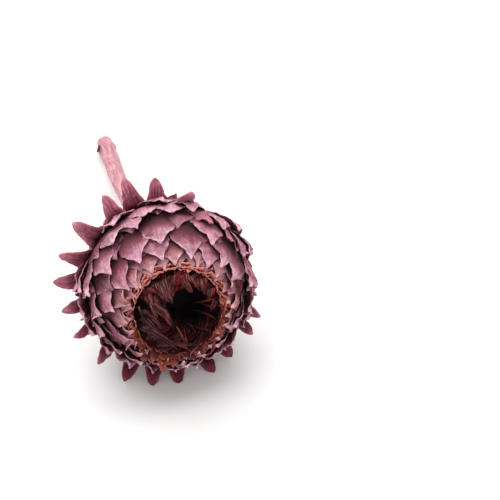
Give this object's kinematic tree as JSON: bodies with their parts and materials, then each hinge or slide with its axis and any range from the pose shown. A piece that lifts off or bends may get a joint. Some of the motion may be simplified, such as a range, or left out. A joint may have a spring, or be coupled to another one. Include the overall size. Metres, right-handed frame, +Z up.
{
  "type": "dried artichoke flower",
  "caption": "Dried dyed artichoke head on a cut stem, lying on its side: overlapping bracts, a papery collar and a dark hollow choke.",
  "frame": {"origin": "on the surface that the flower lies on, under the middle of its bounding box", "axes": "+Y along the stem, from the head towards the cut end, +Z up, and the choke faces -Y and a little up"},
  "size_m": [0.0958, 0.2009, 0.0962],
  "materials": {
    "bracts": "dry dusty mauve pink, dark maroon inside",
    "collar": "papery, pink outside and orange brown inside",
    "choke": "dry fibrous, near black red brown",
    "stem": "dry fibrous, salmon pink"
  },
  "bodies": {
    "root": {"bract_head": "bracts", "papery_collar": "collar", "choke": "choke", "stem": "stem"}
  },
  "joints": []
}
